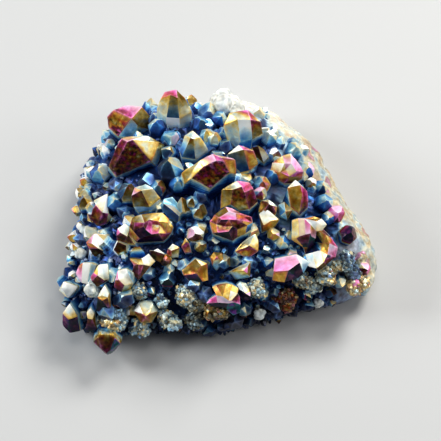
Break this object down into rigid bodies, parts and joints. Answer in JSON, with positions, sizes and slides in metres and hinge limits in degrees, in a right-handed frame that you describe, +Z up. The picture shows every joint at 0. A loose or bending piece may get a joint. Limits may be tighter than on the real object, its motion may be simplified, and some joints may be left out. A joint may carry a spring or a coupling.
{
  "type": "aura quartz cluster",
  "caption": "Cluster of short six-sided quartz points with an iridescent metal coat, grown over a domed piece of matrix with a flat base to rest on.",
  "frame": {"origin": "on the flat base, near the middle of its outline, level with the surface that the cluster rests on", "axes": "+X along the longest side, to the right as seen from the front; +Y from the low front edge to the high back; +Z up out of the crystal face"},
  "size_m": [0.0793, 0.0717, 0.0346],
  "materials": {
    "aura_coating": "opaque iridescent metal film over quartz: dark blue in the recesses, cream and gold on the faces, magenta on the tips, satin to glossy"
  },
  "bodies": {
    "root": {"quartz_cluster": "aura_coating"}
  },
  "joints": []
}
